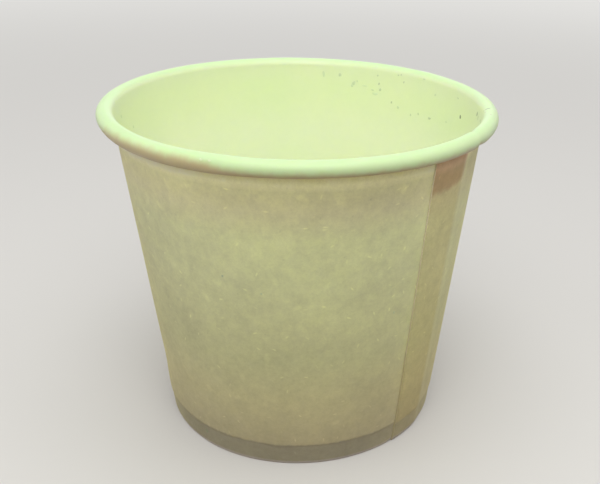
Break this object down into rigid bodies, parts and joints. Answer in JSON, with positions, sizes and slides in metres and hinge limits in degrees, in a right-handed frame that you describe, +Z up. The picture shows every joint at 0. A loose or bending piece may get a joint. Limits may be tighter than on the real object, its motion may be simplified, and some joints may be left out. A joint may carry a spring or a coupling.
{
  "type": "paper sundae cup",
  "caption": "Small flared paper dessert cup with a rolled rim, a lapped side seam and a recessed glued bottom.",
  "frame": {"origin": "centre of the foot ring, on the surface that the cup stands on", "axes": "+Z up the cup's axis, out of its mouth; -Y is the front that the picture shows, with the side seam to the front right"},
  "size_m": [0.075, 0.075, 0.0647],
  "materials": {
    "sidewall": "matte",
    "bottom_disc": "matte"
  },
  "bodies": {
    "root": {"sidewall": "sidewall", "bottom_disc": "bottom_disc"}
  },
  "joints": []
}
